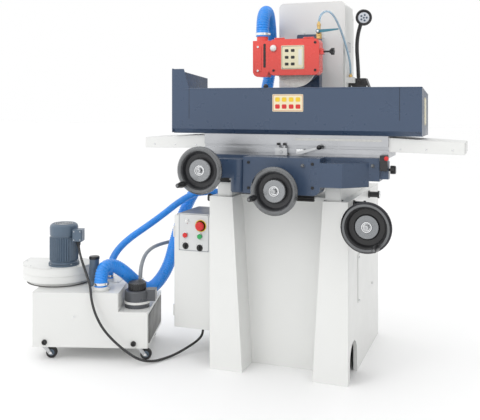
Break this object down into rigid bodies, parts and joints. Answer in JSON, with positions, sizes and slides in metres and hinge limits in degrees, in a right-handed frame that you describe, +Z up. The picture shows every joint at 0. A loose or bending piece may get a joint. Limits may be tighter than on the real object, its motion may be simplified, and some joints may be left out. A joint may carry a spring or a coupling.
{
  "type": "surface grinder",
  "caption": "Hand surface grinder with pedestal, column, sliding table, magnetic chuck, guarded wheelhead, feed handwheels, control box and a wheeled extractor unit.",
  "frame": {"origin": "on the floor, at the middle of the pedestal's four anchor holes", "axes": "+X towards the operator's right, +Y away from the operator, +Z up"},
  "size_m": [2.0139, 1.103, 1.627],
  "materials": {
    "machine_white": "smooth satin light grey machine paint",
    "machine_blue_grey": "smooth dark blue-grey machine paint",
    "guard_red": "glossy red paint",
    "ground_steel": "ground bare iron and steel",
    "turned_steel": "turned and hardened bare steel",
    "handwheel_metal": "polished rim with a black enamelled dish",
    "black_plastic": "moulded black plastic",
    "black_paint": "black enamel",
    "red_plastic": "moulded red plastic",
    "green_plastic": "moulded green plastic",
    "abrasive": "vitrified white abrasive grain",
    "motor_grey": "blue-grey hammered motor paint",
    "pump_blue": "pale blue-grey paint",
    "tank_paint": "smooth light grey paint",
    "brass": "machined brass",
    "lever_teal": "blue-green enamel",
    "dust_hose_blue": "corrugated blue flexible hose",
    "return_hose_blue": "corrugated blue flexible hose",
    "grey_hose": "smooth grey hose",
    "clear_hose": "translucent pale blue hose",
    "cable_black": "black rubber cable sheath",
    "caster_tread": "hard black tread",
    "lamp_black": "satin black"
  },
  "bodies": {
    "base": {"base_pedestal": "machine_white", "base_side_cover": "machine_white", "column": "machine_white", "column_rear_cover": "machine_white", "feed_housing": "black_paint", "lifting_bars": "black_paint", "control_cabinet": "machine_white", "cable_gland": "black_plastic", "lamp_arm": "lamp_black", "tank_body": "tank_paint", "blower_volute": "tank_paint", "blower_motor": "motor_grey", "coolant_pump": "pump_blue", "dust_hose_lower": "dust_hose_blue", "return_hose": "return_hose_blue", "coolant_supply_hose": "grey_hose", "motor_cable": "cable_black"},
    "saddle": {"saddle": "machine_blue_grey"},
    "cross_wheel": {"cross_handwheel": "handwheel_metal", "cross_feed_screw": "turned_steel"},
    "cross_grip": {"cross_grip": "black_plastic"},
    "traverse_wheel": {"traverse_handwheel": "handwheel_metal"},
    "traverse_grip": {"traverse_grip": "black_plastic"},
    "table": {"table": "ground_steel", "magnetic_chuck": "ground_steel", "splash_tray": "machine_blue_grey", "way_covers": "machine_white", "trip_dogs": "turned_steel"},
    "chuck_lever": {"chuck_lever": "black_plastic"},
    "lock_knob": {"lock_knob": "black_plastic"},
    "vertical_wheel": {"vertical_handwheel": "handwheel_metal"},
    "vertical_grip": {"vertical_grip": "black_plastic"},
    "elevating_nut": {"elevating_nut": "turned_steel"},
    "wheelhead": {"wheelhead": "machine_blue_grey", "head_cover": "machine_white", "elevating_screw": "turned_steel", "spindle_motor": "motor_grey", "wheel_guard": "guard_red", "coolant_valve": "brass", "dust_hose_upper": "dust_hose_blue", "coolant_loop_hose": "clear_hose"},
    "spindle": {"spindle": "turned_steel", "grinding_wheel": "abrasive"},
    "guard_cover": {"guard_cover": "guard_red"},
    "star_knob": {"star_knob": "black_plastic"},
    "valve_lever": {"valve_lever": "lever_teal"},
    "lamp_head": {"lamp_head": "lamp_black"},
    "blower_impeller": {"blower_impeller": "turned_steel"},
    "caster_fork_left": {"caster_fork_left": "turned_steel"},
    "caster_fork_right": {"caster_fork_right": "turned_steel"},
    "caster_front_left": {"caster_wheel_front_left": "caster_tread"},
    "caster_front_right": {"caster_wheel_front_right": "caster_tread"},
    "caster_rear_left": {"caster_wheel_rear_left": "caster_tread"},
    "caster_rear_right": {"caster_wheel_rear_right": "caster_tread"},
    "cabinet_door": {"cabinet_door": "machine_white"},
    "stop_button": {"stop_button": "red_plastic"},
    "start_button": {"start_button": "green_plastic"},
    "emergency_stop": {"emergency_stop": "red_plastic"},
    "selector_left": {"selector_left": "black_plastic"},
    "selector_right": {"selector_right": "black_plastic"}
  },
  "joints": [
    {"name": "saddle_travel", "type": "slide", "parent": "base", "child": "saddle", "axis": [0, 1, 0], "range_m": [-0.0101, 0.1781]},
    {"name": "cross_wheel_turn", "type": "hinge", "parent": "saddle", "child": "cross_wheel", "pos_m": [0.034, -0.51, 0.79], "axis": [0, 1, 0], "range_deg": [-720, 12816]},
    {"name": "cross_grip_spin", "type": "hinge", "parent": "cross_wheel", "child": "cross_grip", "pos_m": [-0.04164, -0.55, 0.76396], "axis": [0, 1, 0], "continuous": true},
    {"name": "table_travel", "type": "slide", "parent": "saddle", "child": "table", "axis": [1, 0, 0], "range_m": [-0.2892, 0.1812]},
    {"name": "traverse_wheel_turn", "type": "hinge", "parent": "saddle", "child": "traverse_wheel", "pos_m": [-0.264, -0.56, 0.867], "axis": [0, 1, 0], "range_deg": [-1891, 1184]},
    {"name": "traverse_grip_spin", "type": "hinge", "parent": "traverse_wheel", "child": "traverse_grip", "pos_m": [-0.32251, -0.6, 0.81244], "axis": [0, 1, 0], "continuous": true},
    {"name": "chuck_lever_turn", "type": "hinge", "parent": "table", "child": "chuck_lever", "pos_m": [-0.062, -0.305, 1.046], "axis": [0, 1, 0], "range_deg": [0, 85]},
    {"name": "lock_knob_turn", "type": "hinge", "parent": "saddle", "child": "lock_knob", "pos_m": [0.46, -0.318, 0.872], "axis": [1, 0, 0], "range_deg": [-180, 180]},
    {"name": "head_travel", "type": "slide", "parent": "base", "child": "wheelhead", "axis": [0, 0, 1], "range_m": [-0.1151, 0.1001], "deforming": ["dust_hose_upper", "coolant_loop_hose"]},
    {"name": "vertical_wheel_turn", "type": "hinge", "parent": "base", "child": "vertical_wheel", "pos_m": [0.402, -0.53, 0.671], "axis": [0, 1, 0], "range_deg": [-41400, 36000]},
    {"name": "vertical_grip_spin", "type": "hinge", "parent": "vertical_wheel", "child": "vertical_grip", "pos_m": [0.44557, -0.57, 0.60391], "axis": [0, 1, 0], "continuous": true},
    {"name": "elevating_nut_turn", "type": "hinge", "parent": "base", "child": "elevating_nut", "pos_m": [0.005, 0.1575, 0.755], "axis": [0, 0, 1], "range_deg": [-8282, 7202]},
    {"name": "spindle_spin", "type": "hinge", "parent": "wheelhead", "child": "spindle", "pos_m": [0.005, -0.08, 1.3], "axis": [0, 1, 0], "continuous": true},
    {"name": "guard_cover_swing", "type": "hinge", "parent": "wheelhead", "child": "guard_cover", "pos_m": [0.007, -0.122, 1.4275], "axis": [-1, 0, 0], "range_deg": [0, 100]},
    {"name": "star_knob_turn", "type": "hinge", "parent": "wheelhead", "child": "star_knob", "pos_m": [0.15, -0.1, 1.366], "axis": [1, 0, 0], "range_deg": [-360, 360]},
    {"name": "valve_lever_turn", "type": "hinge", "parent": "wheelhead", "child": "valve_lever", "pos_m": [0.112, -0.107, 1.457], "axis": [0, -1, 0], "range_deg": [0, 90]},
    {"name": "lamp_head_tilt", "type": "hinge", "parent": "base", "child": "lamp_head", "pos_m": [0.252, 0.232, 1.556], "axis": [0.9777, 0.2102, 0], "range_deg": [-15, 15]},
    {"name": "impeller_spin", "type": "hinge", "parent": "base", "child": "blower_impeller", "pos_m": [-1.03139, -0.35943, 0.38], "axis": [0, 0, 1], "continuous": true},
    {"name": "caster_left_swivel", "type": "hinge", "parent": "base", "child": "caster_fork_left", "pos_m": [-1.04412, -0.48881, 0.055], "axis": [0, 0, 1], "continuous": true},
    {"name": "caster_front_left_roll", "type": "hinge", "parent": "caster_fork_left", "child": "caster_front_left", "pos_m": [-1.01543, -0.48004, 0.025], "axis": [-0.2924, 0.9563, 0], "continuous": true},
    {"name": "caster_rear_left_roll", "type": "hinge", "parent": "base", "child": "caster_rear_left", "pos_m": [-1.13183, -0.20192, 0.025], "axis": [-0.2924, 0.9563, 0], "continuous": true},
    {"name": "caster_right_swivel", "type": "hinge", "parent": "base", "child": "caster_fork_right", "pos_m": [-0.63769, -0.36455, 0.055], "axis": [0, 0, 1], "continuous": true},
    {"name": "caster_front_right_roll", "type": "hinge", "parent": "caster_fork_right", "child": "caster_front_right", "pos_m": [-0.609, -0.35578, 0.025], "axis": [-0.2924, 0.9563, 0], "continuous": true},
    {"name": "caster_rear_right_roll", "type": "hinge", "parent": "base", "child": "caster_rear_right", "pos_m": [-0.72541, -0.07766, 0.025], "axis": [-0.2924, 0.9563, 0], "continuous": true},
    {"name": "cabinet_door_swing", "type": "hinge", "parent": "base", "child": "cabinet_door", "pos_m": [-0.52, -0.252, 0.378], "axis": [0, 0, -1], "range_deg": [0, 95]},
    {"name": "stop_button_press", "type": "slide", "parent": "cabinet_door", "child": "stop_button", "axis": [0, 1, 0], "range_m": [0, 0.0035], "stiffness_N_per_m": 900},
    {"name": "start_button_press", "type": "slide", "parent": "cabinet_door", "child": "start_button", "axis": [0, 1, 0], "range_m": [0, 0.0035], "stiffness_N_per_m": 900},
    {"name": "emergency_stop_press", "type": "slide", "parent": "cabinet_door", "child": "emergency_stop", "axis": [0, 1, 0], "range_m": [0, 0.006], "stiffness_N_per_m": 900},
    {"name": "selector_left_turn", "type": "hinge", "parent": "cabinet_door", "child": "selector_left", "pos_m": [-0.463, -0.274, 0.494], "axis": [0, 1, 0], "range_deg": [-45, 45]},
    {"name": "selector_right_turn", "type": "hinge", "parent": "cabinet_door", "child": "selector_right", "pos_m": [-0.394, -0.274, 0.489], "axis": [0, 1, 0], "range_deg": [-45, 45]}
  ],
  "couplings": [
    {"joint": "saddle_travel", "follows": "cross_wheel_turn", "m_per_rad": 0.00079577},
    {"joint": "table_travel", "follows": "traverse_wheel_turn", "m_per_rad": 0.0087535},
    {"joint": "head_travel", "follows": "vertical_wheel_turn", "m_per_rad": 0.00015915},
    {"joint": "elevating_nut_turn", "follows": "vertical_wheel_turn", "ratio": 0.2}
  ]
}
